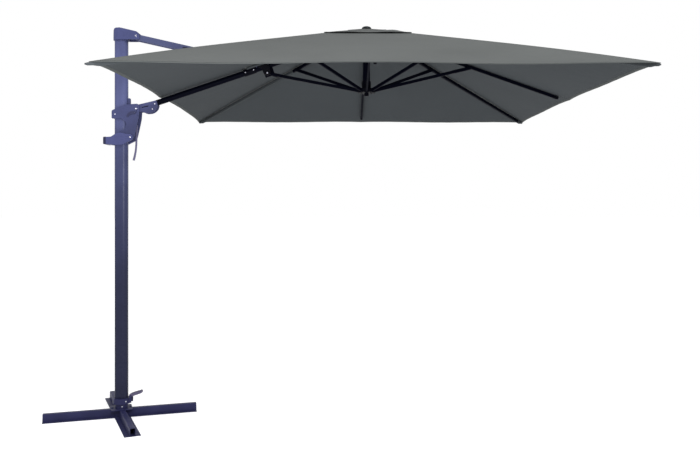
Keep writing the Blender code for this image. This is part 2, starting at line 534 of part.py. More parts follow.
def corner_sheet(name, azimuth):
    """A corner section, folded along its hip and level with its neighbours at the seams."""
    near, far = CLOTH_START, CANOPY_HALF
    first, second = (ARM_PITCH if azimuth == arm_wing else PITCH for arm_wing in (225, 135))
    plan = [(near, near * SECTION_SPLIT + seam, first), (far, far * SECTION_SPLIT + seam, first),
            (far, far, PITCH), (far * SECTION_SPLIT + seam, far, second),
            (near * SECTION_SPLIT + seam, near, second), (near, near, PITCH)]
    a = radians(azimuth - 45)
    vertices = []
    for lift in (0, CLOTH_THICK):
        for x, y, fall in plan:
            z = CLOTH_APEX - fall * max(x, y) + lift
            vertices.append((HUB_X + x * cos(a) - y * sin(a), x * sin(a) + y * cos(a), z))
    top = [(0, 1, 2, 5), (5, 2, 3, 4)]
    faces = [tuple(i + 6 for i in f) for f in top] + [f[::-1] for f in top]
    rim = [0, 1, 2, 3, 4, 5]
    faces += [(a, b, b + 6, a + 6) for a, b in zip(rim, rim[1:] + rim[:1])]
    solid(name, vertices, faces, "cloth")


for name, azimuth in {"far_right": 45, "far_left": 135, "near_left": 225, "near_right": 315}.items():
    corner_sheet(f"cloth_{name}", azimuth)

vertices, faces = [], []
for lift in (0, CLOTH_THICK):
    for half in (0.0200, VENT_HALF):
        z = VENT_APEX - VENT_PITCH * half + lift
        vertices += [(HUB_X + u * half, v * half, z) for u, v in ((1, 1), (-1, 1), (-1, -1), (1, -1))]
for i in range(4):
    k = (i + 1) % 4
    faces += [(8 + i, 12 + i, 12 + k, 8 + k), (i, k, 4 + k, 4 + i), (4 + i, 4 + k, 12 + k, 12 + i),
              (i, 8 + i, 8 + k, k)]
solid("vent_top", vertices, faces, "cloth")


# ---- pivots: an empty on the axis of every joint, carrying the pieces that move with it ---------------------
def on_ring(azimuth, z):
    a = radians(azimuth)
    return HUB_X + PIVOT_RADIUS * cos(a), PIVOT_RADIUS * sin(a), z


def in_plane(point):
    return point[0], 0, point[1]


pivots = {  # name: (parent pivot, place, pieces)
    "mast": (None, (0, 0, 0), ["turn_collar", "mast", "pedal_pin", "head_housing", "head_pin"]),
    "pedal": ("mast", in_plane(PEDAL_PIVOT), ["foot_pedal"]),
    "strut": ("mast", in_plane(P), ["strut_bar_near", "strut_bar_far", "strut_pin"]),
    "beam": ("strut", in_plane(B), ["beam", "arm_cheek_near", "arm_cheek_far", "beam_sleeve", "beam_saddle",
                                    "end_tongue", "cloth_left"]),
    "carriage": ("beam", in_plane(C), ["carriage_sleeve", "side_plate_near", "side_plate_far", "carriage_pin",
                                       "grip_pin", "lever_pin", "tie_strap"]),
    "grip": ("carriage", in_plane(GRIP_PIVOT), ["grip"]),
    "lever": ("carriage", in_plane(LEVER_PIVOT), ["lock_lever"]),
    "hub": ("beam", in_plane(HUB_PIN), ["crown_hub", "hub_pin", "finial_cap", "vent_top"]),
    "stretcher_right": ("rib_right", (HUB_X + SIDE_JOINT[0], 0, SIDE_JOINT[1]), ["stretcher_right"]),
    "runner": ("stretcher_right", on_ring(0, RUNNER_Z), ["runner", "centre_pole"]),
    "tie": ("runner", on_ring(180, RUNNER_Z), ["beam_tie"]),
}
for name, azimuth in RIBS.items():
    pivots[f"rib_{name}"] = ("hub", on_ring(azimuth, CROWN_Z), [f"rib_{name}", f"cloth_{name}"])
    if name != "right":
        pivots[f"stretcher_{name}"] = ("runner", on_ring(azimuth, RUNNER_Z), [f"stretcher_{name}"])

for name in pivots:
    bpy.context.scene.collection.objects.link(bpy.data.objects.new(f"pivot_{name}", None))
for name, (parent, place, pieces) in pivots.items():
    empty = bpy.data.objects[f"pivot_{name}"]
    if parent:
        empty.parent = bpy.data.objects[f"pivot_{parent}"]
    empty.location = Vector(place) - Vector(pivots[parent][1] if parent else (0, 0, 0))
    for piece in pieces:
        made = bpy.data.objects[piece]
        made.data.transform(Matrix.Translation(-Vector(place)))
        made.parent = empty

for made in bpy.data.objects:
    if made.type == "MESH":
        made.data.shade_smooth()
        made.data.set_sharp_from_angle(angle=radians(30))
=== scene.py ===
"""The looks of a cantilever parasol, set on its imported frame. Metres, Z up, the mast's axis at the origin."""
import json
from math import cos, exp, pi, radians, sin, sqrt

import bmesh
import bpy
from mathutils import Matrix, Vector


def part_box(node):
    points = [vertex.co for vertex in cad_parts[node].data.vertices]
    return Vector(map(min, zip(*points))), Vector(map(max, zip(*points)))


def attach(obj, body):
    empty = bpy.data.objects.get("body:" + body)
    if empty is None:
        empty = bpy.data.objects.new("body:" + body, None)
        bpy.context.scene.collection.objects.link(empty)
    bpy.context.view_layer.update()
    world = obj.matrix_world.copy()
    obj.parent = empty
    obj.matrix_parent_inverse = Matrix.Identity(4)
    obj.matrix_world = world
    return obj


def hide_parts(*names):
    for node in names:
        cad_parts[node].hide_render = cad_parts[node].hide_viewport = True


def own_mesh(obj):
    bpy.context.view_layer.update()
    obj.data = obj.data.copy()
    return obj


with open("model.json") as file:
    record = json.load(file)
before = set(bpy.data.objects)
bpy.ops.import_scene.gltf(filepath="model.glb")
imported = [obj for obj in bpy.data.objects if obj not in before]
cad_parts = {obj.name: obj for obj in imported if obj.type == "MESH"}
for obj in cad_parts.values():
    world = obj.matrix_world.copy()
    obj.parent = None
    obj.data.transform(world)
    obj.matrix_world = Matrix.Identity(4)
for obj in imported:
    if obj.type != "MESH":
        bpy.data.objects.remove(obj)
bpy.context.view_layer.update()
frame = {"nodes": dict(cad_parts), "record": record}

scene = bpy.context.scene

# ---- sizes read from the frame -----------------------------------------------------------------------------
cap_low, cap_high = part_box("finial_cap")
HUB = (cap_low + cap_high) / 2
cloth_low, cloth_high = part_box("cloth_right")
CLOTH = 0.002  # thickness of the frame's cloth solids
START, HALF = cloth_low.x - HUB.x, cloth_high.x - HUB.x
PITCH = (cloth_high.z - CLOTH - cloth_low.z) / (HALF - START)
APEX = cloth_high.z + PITCH * START  # where the upper face of the side planes meets the hub's axis
arm_low, arm_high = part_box("cloth_left")
ARM_PITCH = (arm_high.z - CLOTH - arm_low.z) / (HALF - START)  # the section over the beam falls less
vent_low, vent_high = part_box("vent_top")
VENT_HALF = vent_high.x - HUB.x
VENT_PITCH = 0.31  # the fall of the small roof over the vent
VENT_APEX = vent_low.z + CLOTH + VENT_PITCH * VENT_HALF

# ---- looks that the frame doesn't hold ---------------------------------------------------------------------
SPLIT = 0.413  # a side section reaches this share of the way to the hips
SAG = 0.014  # how far the hem hangs down between two ribs
RIPPLE, RIPPLES = 0.0004, 9  # height of the small waves at the hem, and their number from rib to corner
EDGE_CUT = 0.026  # depth of the bows between the rib tips
BOW = 0.010  # the hips stand this much above a straight line, two thirds of the way out
HEM, HEM_THICK = 0.020, 0.0026
SHEET_THICK, PATCH_THICK = 0.0010, 0.0012
TAPE_HALF = 0.013  # half the width of the tape under a side rib's cloth
SEAM_HALF = 0.007  # half the width of the felled seam down a hip
CAP_REACH = 0.135  # the doubled patch round the finial
VENT_PEAK = (0.22, -0.15, 0.014, 0.005)  # the vent's raised corner: x and y from the hub, height, spread
ARM_HOLE = (0.735, 0.858, 0.046)  # in the left section: from, to, half width
TIP_SHORT = (0.020, 0.008, 0.0, 0.006)  # how far the cloth stays inside the square at each side's middle
SIDES = ("right", "far", "left", "near")
CORNERS = ("far_right", "far_left", "near_left", "near_right")


def rider(name):
    """The body under a section of cloth, and the joint that folds it."""
    return ("beam", "canopy_fold") if name == "left" else (f"rib_{name}", f"rib_{name}_fold")


# ---- materials ---------------------------------------------------------------------------------------------
PEBBLE, WEAVE = 0.18, 0.22  # strengths of the bump on coats and on cloth
BAND_PITCH = 0.314  # metres between the wave texture's bands at a scale of 1
YARN_SHARE, BROAD_SHARE = 0.35, 0.65  # of the cloth's mottle
SOFT_ENDS = (0.3, 0.7)  # the part of a noise's range that a variation runs over


def start_material(name, colour, roughness, metallic=0.0, **constants):
    """A material whose shader has these constants, and what the functions below need to add to it."""
    made = bpy.data.materials.new(name)
    made.use_nodes = True
    nodes, links = made.node_tree.nodes, made.node_tree.links
    shader = nodes["Principled BSDF"]
    shader.inputs["Base Color"].default_value = (*colour, 1)
    shader.inputs["Roughness"].default_value = roughness
    shader.inputs["Metallic"].default_value = metallic
    for socket, value in constants.items():
        shader.inputs[socket.replace("_", " ")].default_value = value
    place = nodes.new("ShaderNodeTexCoord").outputs["Object"]
    return made, nodes, links, shader, place


def cloud(nodes, links, place, scale, detail=3.0):
    """Soft noise in object space."""
    made = nodes.new("ShaderNodeTexNoise")
    made.inputs["Scale"].default_value = scale
    made.inputs["Detail"].default_value = detail
    links.new(place, made.inputs["Vector"])
    return made.outputs["Fac"]


def vary_colour(nodes, links, shader, factor, colour, low, high):
    """The colour runs from the low share of itself to the high one as the factor rises."""
    ramp = nodes.new("ShaderNodeValToRGB")
    for element, position, share in zip(ramp.color_ramp.elements, SOFT_ENDS, (low, high)):
        element.position = position
        element.color = (*(min(1, c * share) for c in colour), 1)
    links.new(factor, ramp.inputs["Fac"])
    links.new(ramp.outputs["Color"], shader.inputs["Base Color"])


def map_range(nodes, links, factor, values):
    """A Map Range node fed by the factor: its values are from low, from high, to low, to high."""
    ramp = nodes.new("ShaderNodeMapRange")
    for socket, value in zip(("From Min", "From Max", "To Min", "To Max"), values):
        ramp.inputs[socket].default_value = value
    links.new(factor, ramp.inputs["Value"])
    return ramp


def vary_roughness(nodes, links, shader, factor, low, high):
    ramp = map_range(nodes, links, factor, (*SOFT_ENDS, low, high))
    links.new(ramp.outputs["Result"], shader.inputs["Roughness"])


def emboss(nodes, links, shader, height, strength, depth):
    """A fine relief from a height in 0 to 1."""
    bump = nodes.new("ShaderNodeBump")
    bump.inputs["Strength"].default_value = strength
    bump.inputs["Distance"].default_value = depth
    links.new(height, bump.inputs["Height"])
    links.new(bump.outputs["Normal"], shader.inputs["Normal"])


def coated(name, colour, roughness, metallic=0.0, grain=650, depth=0.00025, **constants):
    """Powder coat or moulded plastic: a fine pebble, cloudy colour and uneven gloss."""
    made, nodes, links, shader, place = start_material(name, colour, roughness, metallic, **constants)
    vary_colour(nodes, links, shader, cloud(nodes, links, place, 7), colour, 0.88, 1.12)
    vary_roughness(nodes, links, shader, cloud(nodes, links, place, 38), roughness - 0.05, roughness + 0.07)
    emboss(nodes, links, shader, cloud(nodes, links, place, grain, 2.0), PEBBLE, depth)
    return made


def woven(name, colour, roughness, thread=0.0016, depth=0.0003, mottle=0.10, **constants):
    """Cloth with crossed threads, a slight mottle in the yarn and broad, faint unevenness."""
    made, nodes, links, shader, place = start_material(name, colour, roughness, **constants)
    waves = []
    for direction in ("X", "Y"):
        wave = nodes.new("ShaderNodeTexWave")
        wave.bands_direction = direction
        wave.inputs["Scale"].default_value = BAND_PITCH / thread
        wave.inputs["Distortion"].default_value = 0.6
        links.new(place, wave.inputs["Vector"])
        waves.append(wave.outputs["Fac"])
    crossed = nodes.new("ShaderNodeMath")
    crossed.operation = "MAXIMUM"
    for i, wave in enumerate(waves):
        links.new(wave, crossed.inputs[i])
    broad, yarn = cloud(nodes, links, place, 2.2), cloud(nodes, links, place, 420, 4.0)
    blended = nodes.new("ShaderNodeMath")
    blended.operation = "MULTIPLY_ADD"
    blended.inputs[1].default_value = YARN_SHARE
    links.new(yarn, blended.inputs[0])
    scaled = nodes.new("ShaderNodeMath")
    scaled.operation = "MULTIPLY"
    scaled.inputs[1].default_value = BROAD_SHARE
    links.new(broad, scaled.inputs[0])
    links.new(scaled.outputs[0], blended.inputs[2])
    vary_colour(nodes, links, shader, blended.outputs[0], colour, 1 - mottle, 1 + mottle)
    emboss(nodes, links, shader, crossed.outputs[0], WEAVE, depth)
    return made


def graded(made, axis, low, high, shares):
    """Scales the colour along an object axis: by the first share up to low, by the second from high on."""
    nodes, links = made.node_tree.nodes, made.node_tree.links
    shader = nodes["Principled BSDF"]
    colour = shader.inputs["Base Color"].links[0].from_socket
    split = nodes.new("ShaderNodeSeparateXYZ")
    links.new(next(n for n in nodes if n.type == "TEX_COORD").outputs["Object"], split.inputs[0])
    ramp = map_range(nodes, links, split.outputs[axis], (low, high, *shares))
    ramp.interpolation_type = "SMOOTHSTEP"
    scaled = nodes.new("ShaderNodeVectorMath")
    scaled.operation = "SCALE"
    links.new(colour, scaled.inputs[0])
    links.new(ramp.outputs["Result"], scaled.inputs["Scale"])
    links.new(scaled.outputs[0], shader.inputs["Base Color"])
    return made


# painted shade: the mast's colour is scaled down toward its foot, so the lower mast reads darker as if it got
# less light
mast_paint_with_painted_shade = graded(coated("mast_powder_coat_with_painted_shade", (0.063, 0.071, 0.156), 0.28, Specular_IOR_Level=0.08),
                    "Z", 0.6, 2.7, (0.22, 1.0))
strut_paint = graded(coated("strut_powder_coat", (0.062, 0.070, 0.142), 0.40, Specular_IOR_Level=0.06),
                     "X", 0.975, 0.985, (1.0, 0.03))  # the fitting at its end is black
beam_paint = coated("beam_powder_coat", (0.0010, 0.0013, 0.0044), 0.50, Specular_IOR_Level=0.02)
base_paint = coated("base_powder_coat", (0.0190, 0.0200, 0.0600), 0.44, Specular_IOR_Level=0.09)
# painted shade: the moulding's colour is scaled down below the head, so the carriage reads darker as if it got
# less light
moulding = graded(
    coated("grained_moulding_with_painted_shade", (0.045, 0.052, 0.136), 0.46, grain=900, Specular_IOR_Level=0.20),
    "Z", 2.2, 2.7, (0.70, 1.0))
grip_moulding = coated("grip_moulding", (0.043, 0.049, 0.132), 0.44, grain=900, Specular_IOR_Level=0.20)
dark_moulding = coated("dark_moulding", (0.0012, 0.0014, 0.0036), 0.50, grain=900, Specular_IOR_Level=0.03)
lever_moulding = coated("lever_moulding", (0.014, 0.016, 0.052), 0.44, grain=900, Specular_IOR_Level=0.3)
cap_moulding = coated("cap_moulding", (0.008, 0.011, 0.013), 0.46, grain=900, Specular_IOR_Level=0.12)
pedal_moulding = coated("pedal_moulding", (0.060, 0.052, 0.100), 0.46, grain=900, Specular_IOR_Level=0.3)
rubber = coated("soft_grip", (0.014, 0.015, 0.042), 0.62, grain=1100, Specular_IOR_Level=0.15)
bright = coated("bright_steel", (0.58, 0.58, 0.66), 0.30, 1.0, grain=300, depth=0.00008)
pin_finish = coated("pin_finish", (0.050, 0.054, 0.110), 0.38, grain=300, depth=0.00008)
cloth_top = woven("canopy_cloth", (0.070, 0.0755, 0.0745), 0.92, Sheen_Weight=0.04, Specular_IOR_Level=0.1)
# painted shade: the canopy cloth darkened for its underside and for the tapes, pockets, sleeve and flaps
# beneath it, standing in for the shade under the canopy
cloth_painted_shade = woven("canopy_underside_painted_shade", (0.038, 0.043, 0.047), 0.88, mottle=0.05, Specular_IOR_Level=0.1)
hem_cloth = woven("canopy_hem", (0.058, 0.063, 0.063), 0.9, mottle=0.08, Specular_IOR_Level=0.1)
tape = woven("strap_webbing", (0.085, 0.080, 0.150), 0.85, thread=0.0022, depth=0.0005)

by_slot = {"frame_paint": mast_paint_with_painted_shade, "dark_paint": beam_paint, "base_paint": base_paint, "steel": pin_finish,
           "moulding": moulding, "dark_moulding": dark_moulding}
by_node = {"strut_bar_near": strut_paint, "strut_bar_far": strut_paint, "strut_pin": beam_paint,
           "lock_lever": lever_moulding, "grip": grip_moulding, "finial_cap": cap_moulding,
           "foot_pedal": pedal_moulding}
bevels = {"frame_paint": 0.0012, "dark_paint": 0.0009, "base_paint": 0.0012, "steel": 0.0008,
          "moulding": 0.0026, "dark_moulding": 0.0012}

# ---- the frame's own nodes: welded, edges rounded, given their finish --------------------------------------
for row in frame["record"]["subparts"]:
    node, kind = frame["nodes"][row["node"]], row["material_slot"]
    if kind in ("cloth", "webbing"):
        continue
    node.data.materials.clear()
    node.data.materials.append(by_node.get(row["node"], by_slot[kind]))
    if "custom_normal" in node.data.attributes:
        node.data.attributes.remove(node.data.attributes["custom_normal"])
    node.data.shade_smooth()
    node.modifiers.new("join", "WELD").merge_threshold = 0.00002
    rounded = node.modifiers.new("edges", "BEVEL")
    rounded.width = bevels[kind]
    rounded.segments = 2
    rounded.limit_method, rounded.angle_limit = "ANGLE", radians(32)
    node.modifiers.new("shade", "WEIGHTED_NORMAL").weight = 90


# ---- building helpers --------------------------------------------------------------------------------------
def add_mesh(name, points, faces, *finishes):
    mesh = bpy.data.meshes.new(name)
    mesh.from_pydata([tuple(p) for p in points], [], faces)
    mesh.update()
    made = bpy.data.objects.new(name, mesh)
    scene.collection.objects.link(made)
    for finish in finishes:
        mesh.materials.append(finish)
    mesh.shade_smooth()
    return made


def add_grid(name, rows, *finishes, closed=False, capped=False):
    """Rows of points joined into quads; closed joins each row's ends, capped fills the first and last row."""
    n = len(rows[0])
    points = [p for row in rows for p in row]
    faces = []
    for i in range(len(rows) - 1):
        for k in range(n if closed else n - 1):
            a, b = i * n + k, i * n + (k + 1) % n
            faces.append((a, b, b + n, a + n))
    if capped:
        last = (len(rows) - 1) * n
        faces += [tuple(range(n))[::-1], tuple(range(last, last + n))]
    made = add_mesh(name, points, faces, *finishes)
    if capped:
        outward(made)
    return made


def outward(made):
    """Turns the faces of a closed piece outwards."""
    built = bmesh.new()
    built.from_mesh(made.data)
    bmesh.ops.recalc_face_normals(built, faces=built.faces)
    built.to_mesh(made.data)
    built.free()


def looking(at, axis):
    """A frame at a point whose Z runs along the axis."""
    return Matrix.Translation(at) @ Vector(axis).to_track_quat("Z", "Y").to_matrix().to_4x4()


def button_screw(name, at, axis, radius, body):
    """A domed head with a washer's edge and a six-sided socket."""
    place = looking(at, axis)
    height = 0.45 * radius
    rows = [(1.18, -0.0004), (1.18, 0.0006), (1.02, 0.0008), (1.0, 0.18 * height + 0.0006)]
    rows += [(cos(a) * 0.97, 0.0006 + 0.2 * height + 0.8 * height * sin(a)) for a in (0.35, 0.7, 1.0)]
    profile = [(share * radius, h) for share, h in rows]
    points, faces, steps = [], [], 24
    for r, h in profile:
        points += [(r * cos(2 * pi * k / steps), r * sin(2 * pi * k / steps), h) for k in range(steps)]
    top = profile[-1][1]
    for h in (top, top - 0.6 * height):  # the socket's rim and its floor
        for k in range(steps):
            a = 2 * pi * k / steps
            edge = 0.40 * radius * cos(pi / 6) / cos((a % (pi / 3)) - pi / 6)
            points.append((edge * cos(a), edge * sin(a), h))
    for i in range(len(profile) + 1):
        for k in range(steps):
            a, b = i * steps + k, i * steps + (k + 1) % steps
            faces.append((a, b, b + steps, a + steps))
    last = (len(profile) + 1) * steps
    faces += [tuple(range(steps))[::-1], tuple(range(last, last + steps))]
    made = add_mesh(name, [place @ Vector(p) for p in points], faces, bright)
    made.data.set_sharp_from_angle(angle=radians(35))
    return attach(made, body)


def pair(name, x, z, reach, radius, body):
    """The same screw on the near and the far side, its seat at so much across."""
    for side, sign in (("near", -1), ("far", 1)):
        button_screw(f"{name}_{side}", (x, sign * reach, z), (0, sign, 0), radius, body)


# ---- the canopy's surface ----------------------------------------------------------------------------------
def on_side(side, out, along, z):
    """A point of one of the four sides: so far out from the hub, so far along the side."""
    c, s = ((1, 0), (0, 1), (-1, 0), (0, -1))[side]
    return Vector((HUB.x + out * c - along * s, HUB.y + out * s + along * c, z))


def canopy(side, out, t, lift=0.0):
    """The cloth: out from the hub, t from -1 to 1 between the side's two hips, sagging between the ribs."""
    sag = SAG * (out / HALF) ** 1.5 * (1 - cos(2 * pi * t)) / 2
    fold = RIPPLE * (out / HALF) * cos(2 * pi * RIPPLES * abs(t)) * (1 - abs(2 * abs(t) - 1) ** 4)
    fall = PITCH
    if side == 2:
        fall += (ARM_PITCH - PITCH) * min(1, (1 - abs(t)) / (1 - SPLIT))
    bow = BOW * sin(pi * min(1, out / HALF) ** 1.7) * abs(t) ** 3
    return on_side(side, out, out * t, APEX - fall * out - sag - fold + bow + lift)


def edge_at(side, t):
    """How far out the cloth reaches: it is cut in shallow bows between the rib tips."""
    return HALF - EDGE_CUT * 4 * abs(t) * (1 - abs(t)) - TIP_SHORT[side] * (1 - abs(t))


def spread(low, high, count):
    """Evenly spaced values, both ends included."""
    return [low + (high - low) * i / count for i in range(count + 1)]


def wings(name):
    """The stretches of the edge that a section covers: (side, t from, t to)."""
    if name in SIDES:
        return [(SIDES.index(name), -SPLIT, SPLIT)]
    side = CORNERS.index(name)
    return [(side, SPLIT, 1.0), ((side + 1) % 4, -1.0, -SPLIT)]


def rim(name, per_wing):
    """(side, t) pairs along a section's edge, the corner's shared point once."""
    found = []
    for side, low, high in wings(name):
        found += [(side, t) for t in spread(low, high, per_wing)][1 if found else 0:]
    return found


def fold_with(piece, name):
    """Rides the section's rib."""
    body, joint = rider(name)
    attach(piece, body)
    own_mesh(piece)


def two_faced(piece, thickness):
    """Gives the sheet its thickness below its upper face, with the second material on the underside."""
    shell = piece.modifiers.new("thickness", "SOLIDIFY")
    shell.thickness, shell.offset = thickness, -1
    shell.material_offset, shell.material_offset_rim = 1, 1
    built = bmesh.new()
    built.from_mesh(piece.data)
    for edge in built.edges:
        edge.smooth = not edge.is_boundary
    built.to_mesh(piece.data)
    built.free()
    return piece


def section(name):
    """One section of the canopy's cloth. The left one has the opening for the arm."""
    pairs = rim(name, 26 if name in SIDES else 20)
    rows = []
    for share in spread(0, 1, 34):
        rows.append([canopy(side, START + (edge_at(side, t) - START) * share, t) for side, t in pairs])
    piece = add_grid(f"canopy_{name}", rows, cloth_top, cloth_painted_shade)
    built = bmesh.new()
    built.from_mesh(piece.data)
    if name == "left":
        near, far, half = ARM_HOLE
        for point, normal in (((HUB.x - near, 0, 0), (1, 0, 0)), ((HUB.x - far, 0, 0), (1, 0, 0)),
                              ((0, half, 0), (0, 1, 0)), ((0, -half, 0), (0, 1, 0))):
            every = built.verts[:] + built.edges[:] + built.faces[:]
            bmesh.ops.bisect_plane(built, geom=every, plane_co=point, plane_no=normal)
        inside = [f for f in built.faces if near < HUB.x - f.calc_center_median().x < far
                  and abs(f.calc_center_median().y) < half]
        bmesh.ops.delete(built, geom=inside, context="FACES")
    if sum(f.normal.z for f in built.faces) < 0:
        bmesh.ops.reverse_faces(built, faces=built.faces)
    built.to_mesh(piece.data)
    built.free()
    piece.data.shade_smooth()
    return two_faced(piece, SHEET_THICK)


def hem(name):
    """The doubled, rolled edge."""
    loop = [(0.0, -0.4), (0.0, 0.3), (0.0010, 0.5), (HEM - 0.001, 0.5), (HEM, 0.3), (HEM, -0.6),
            (0.0012, -0.75)]  # how far in from the edge, and the height in hem thicknesses
    rows = []
    for side, t in rim(name, 26 if name in SIDES else 20):
        rows.append([canopy(side, edge_at(side, t) - inset, t, lift * HEM_THICK) for inset, lift in loop])
    return add_grid(f"hem_{name}", rows, hem_cloth, closed=True, capped=True)


def hip_seam(name):
    """The felled seam down a corner section's hip: a low ridge above, a taped strip beneath."""
    side = CORNERS.index(name)
    loop = [(-1, 0.0002), (-0.8, 0.0013), (-0.1, 0.0017), (0.1, 0.0017), (0.8, 0.0013), (1, 0.0002),
            (1.3, -0.0012), (1.2, -0.0022), (-1.2, -0.0022), (-1.3, -0.0012)]
    rows = []
    for out in spread(START + 0.01, HALF - HEM, 40):
        row = []
        for place, lift in loop:
            off = abs(place) * SEAM_HALF / out
            row.append(canopy(side, out, 1 - off, lift) if place < 0 else
                       canopy((side + 1) % 4, out, -1 + off, lift))
        rows.append(row)
    return add_grid(f"hip_seam_{name}", rows, cloth_top, closed=True, capped=True)


def rib_tape(name):
    """A sewn tape on the underside, over the rib of a side section."""
    side = SIDES.index(name)
    outs = spread(START + 0.02, HALF - HEM, 36)
    if name == "left":
        outs = spread(ARM_HOLE[1] + 0.03, HALF - HEM, 16)
    rows = []
    for out in outs:
        rows.append([canopy(side, out, place * TAPE_HALF / out, -0.0011 - drop)
                     for place, drop in ((-1, 0), (1, 0), (0.9, 0.0008), (-0.9, 0.0008))])
    return add_grid(f"rib_tape_{name}", rows, cloth_painted_shade, closed=True, capped=True)


def vent_surface(x, y, lift):
    """The small roof over the vent, fluttering a little at its edge."""
    reach = max(abs(x), abs(y))
    along = min(abs(x), abs(y)) / max(reach, 1e-6)
    side_lift = 0.011 if x > abs(y) else 0.004
    flutter = side_lift * max(0, reach / VENT_HALF - 0.45) ** 2 / 0.3 * sin(pi * along) ** 2
    peak_x, peak_y, height, width = VENT_PEAK
    flutter += height * exp(-((x - peak_x) ** 2 + (y - peak_y) ** 2) / width)
    return Vector((HUB.x + x, HUB.y + y, VENT_APEX - VENT_PITCH * reach + flutter + lift))


def vent_flap(name, order):
    """One eighth of the vent's roof. It is wide under the patch, so that folded flaps still close the top."""
    azimuth = SIDES.index(name) * 90 if name in SIDES else CORNERS.index(name) * 90 + 45
    turn = Matrix.Rotation(radians(azimuth), 2)
    rows = []
    under_patch = (0.021, 0.05, 0.09, CAP_REACH - 0.012)
    for out in (*under_patch, CAP_REACH - 0.006, *spread(0.16, VENT_HALF, 9)):
        row = []
        for share in spread(-1, 1, 16):
            if out in under_patch:
                half = 0.1 if name in SIDES else 0.085
                local = turn @ Vector((out * (1 if name in SIDES else 1 / sqrt(2)), half * share))
            elif name in SIDES:
                local = turn @ Vector((out, out * SPLIT * share))
            else:
                t = 1 - (1 - SPLIT) * abs(share)
                flat = Vector((out, out * t)) if share < 0 else Vector((out * t, out))
                local = Matrix.Rotation(radians(azimuth - 45), 2) @ flat
            row.append(vent_surface(local.x, local.y, -0.0016 - 0.00015 * order))
        rows.append(row)
    piece = add_grid(f"vent_{name}", rows, cloth_top, cloth_painted_shade)
    if sum(p.normal.z for p in piece.data.polygons) < 0:
        piece.data.flip_normals()
    return two_faced(piece, SHEET_THICK)


def vent_hem(name):
    """The bound edge of a vent flap."""
    rows = []
    loop = [(0.0, -0.0022), (0.0, 0.0004), (0.012, 0.0004), (0.012, -0.0022)]
    for side, t in rim(name, 12):
        row = []
        for inset, lift in loop:
            out = VENT_HALF - inset
            p = on_side(side, out, out * t, 0)
            row.append(vent_surface(p.x - HUB.x, p.y - HUB.y, lift - 0.0012))
        rows.append(row)
    return add_grid(f"vent_hem_{name}", rows, hem_cloth, closed=True, capped=True)


for order, name in enumerate(SIDES + CORNERS):
    body, joint = rider(name)
    main, edge = section(name), hem(name)
    extra = hip_seam(name) if name in CORNERS else rib_tape(name)
    flap, flap_edge = vent_flap(name, order), vent_hem(name)
    for piece in (main, edge):
        fold_with(piece, name)
    for piece in (flap, flap_edge):
        fold_with(piece, name)
    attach(extra, body)
    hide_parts(f"cloth_{name}")
    reach = HALF - START  # how far the cloth reaches out from its start

# the doubled patch round the finial
rows = []
for out in spread(0.0205, CAP_REACH, 8):
    row = []
    for side in range(4):
        for t in spread(-1, 1, 8)[:-1]:
            p = on_side(side, out, out * t, 0)
            row.append(vent_surface(p.x - HUB.x, p.y - HUB.y, 0))
    rows.append(row)
patch = two_faced(add_grid("vent_patch", rows, cloth_top, cloth_painted_shade, closed=True), PATCH_THICK)
if patch.data.polygons[0].normal.z < 0:
    patch.data.flip_normals()
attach(patch, "hub")
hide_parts("vent_top")

# a taped border round the opening for the arm
near, far, half = ARM_HOLE
ring, loop = [], [(0.0, -0.0022), (0.0, 0.0014), (0.018, 0.0014), (0.018, -0.0022)]
corners = [(near, -half), (far, -half), (far, half), (near, half), (near, -half)]
for (u0, v0), (u1, v1) in zip(corners, corners[1:]):
    for share in spread(0, 1, 6)[:-1]:
        u, v = u0 + (u1 - u0) * share, v0 + (v1 - v0) * share
        row = []
        for grow, lift in loop:
            gu = u + grow * ((u > far - 1e-6) - (u < near + 1e-6))
            gv = v + grow * ((v > half - 1e-6) - (v < -half + 1e-6))
            row.append(canopy(2, gu, gv / gu, lift))
        ring.append(row)
border = add_grid("arm_hole_border", ring + ring[:1], hem_cloth, closed=True)
outward(border)
fold_with(border, "left")
FLAP_DROP = 0.0230  # how far a flap hangs down on each side of the arm
outline = ((0.0002, 0.0012), (0.0014, 0.0012), (0.0030, FLAP_DROP), (0.0018, FLAP_DROP))
for side, sign in (("near", -1), ("far", 1)):
    rows = []
    for out in spread(near - 0.004, far + 0.004, 8):
        rows.append([canopy(2, out, sign * (half + off) / out, -drop) for off, drop in outline])
    flap = add_grid(f"arm_flap_{side}", rows, cloth_painted_shade, closed=True, capped=True)
    fold_with(flap, "left")

# ---- rib ends: a cap on each side rib, a cloth pocket on each corner rib -----------------------------------
RIB_PLANE = 2.7857  # where the ribs' middle lines meet the hub's axis
SIDE_REACH, CORNER_REACH = 1.385, 2.060
POCKET_START = {"far_right": 2.030, "far_left": 2.010, "near_left": 1.500, "near_right": 1.500}
POCKET_TAIL = {"far_right": 0.050, "far_left": 0.050, "near_left": 0.080, "near_right": 0.058}  # past the rib
SLEEVE_START, SLEEVE_HALVES = 0.80, (0.0106, 0.0128)  # the sleeve on the far left rib: width, height


def on_rib(name, out):
    """A point on a rib's middle line, and the directions up from it and across it."""
    corner = name in CORNERS
    a = radians(CORNERS.index(name) * 90 + 45 if corner else SIDES.index(name) * 90)
    fall = PITCH / sqrt(2) if corner else PITCH
    along = Vector((cos(a), sin(a), -fall)).normalized()
    across = Vector((-sin(a), cos(a), 0))
    centre = Vector((HUB.x + out * cos(a), HUB.y + out * sin(a), RIB_PLANE - fall * out))
    return centre, along.cross(across), across


def sheath(name, label, rings, finish):
    """A rounded tube over a rib: (out, half width, half height, rise) for each of its rings."""
    rows = []
    for out, width, height, rise in rings:
        centre, up, across = on_rib(name, out)
        row = []
        for k in range(24):
            t = 2 * pi * k / 24
            u = width * abs(cos(t)) ** 0.5 * (1 if cos(t) > 0 else -1)
            v = height * abs(sin(t)) ** 0.5 * (1 if sin(t) > 0 else -1)
            row.append(centre + across * u + up * (v + rise))
        rows.append(row)
    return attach(add_grid(f"{label}_{name}", rows, finish, closed=True, capped=True), f"rib_{name}")


